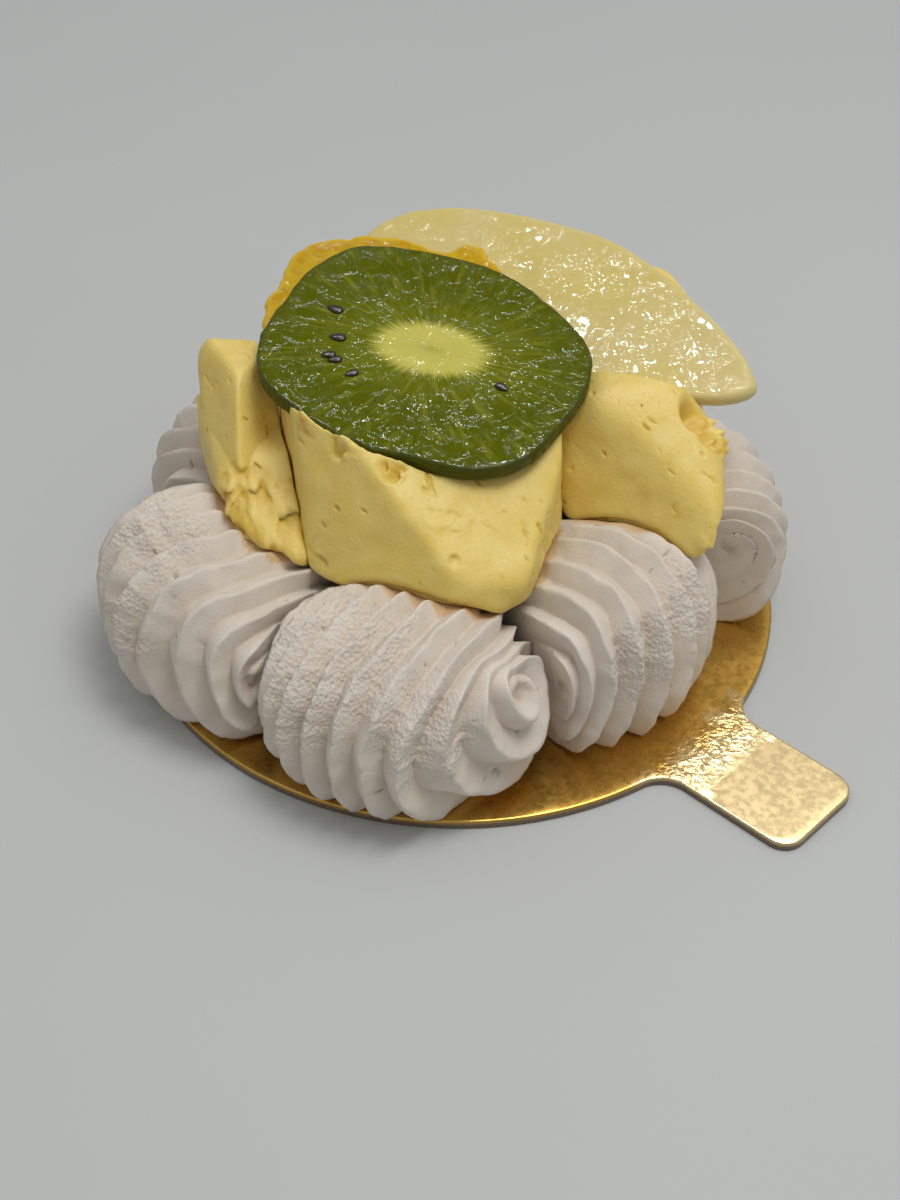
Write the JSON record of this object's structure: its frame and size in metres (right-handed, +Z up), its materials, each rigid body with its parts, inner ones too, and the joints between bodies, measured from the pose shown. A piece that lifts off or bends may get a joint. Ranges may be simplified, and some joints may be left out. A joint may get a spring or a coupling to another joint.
{
  "type": "pavlova",
  "caption": "Single-portion pavlova: a ring of piped meringue petals with mango cream quenelles and sliced fruit, on its round gold cake card with a pull tab.",
  "frame": {"origin": "centre of the card's round part, on its underside", "axes": "+Z up out of the card, +X along the card's pull tab"},
  "size_m": [0.1096, 0.0931, 0.0434],
  "materials": {
    "gold_card": "gloss",
    "meringue": "matte",
    "mango_cream": "matte",
    "kiwi": "gloss",
    "pale_fruit": "gloss",
    "mango": "gloss"
  },
  "bodies": {
    "root": {"card": "gold_card", "meringue_front": "meringue", "meringue_right": "meringue", "meringue_right_back": "meringue", "meringue_back": "meringue", "meringue_left_back": "meringue", "meringue_left": "meringue", "cream_front": "mango_cream", "cream_right": "mango_cream", "cream_left": "mango_cream", "cream_back_right": "mango_cream", "cream_back_left": "mango_cream", "kiwi_slice": "kiwi", "pale_slice": "pale_fruit", "mango_piece": "mango"}
  },
  "joints": []
}
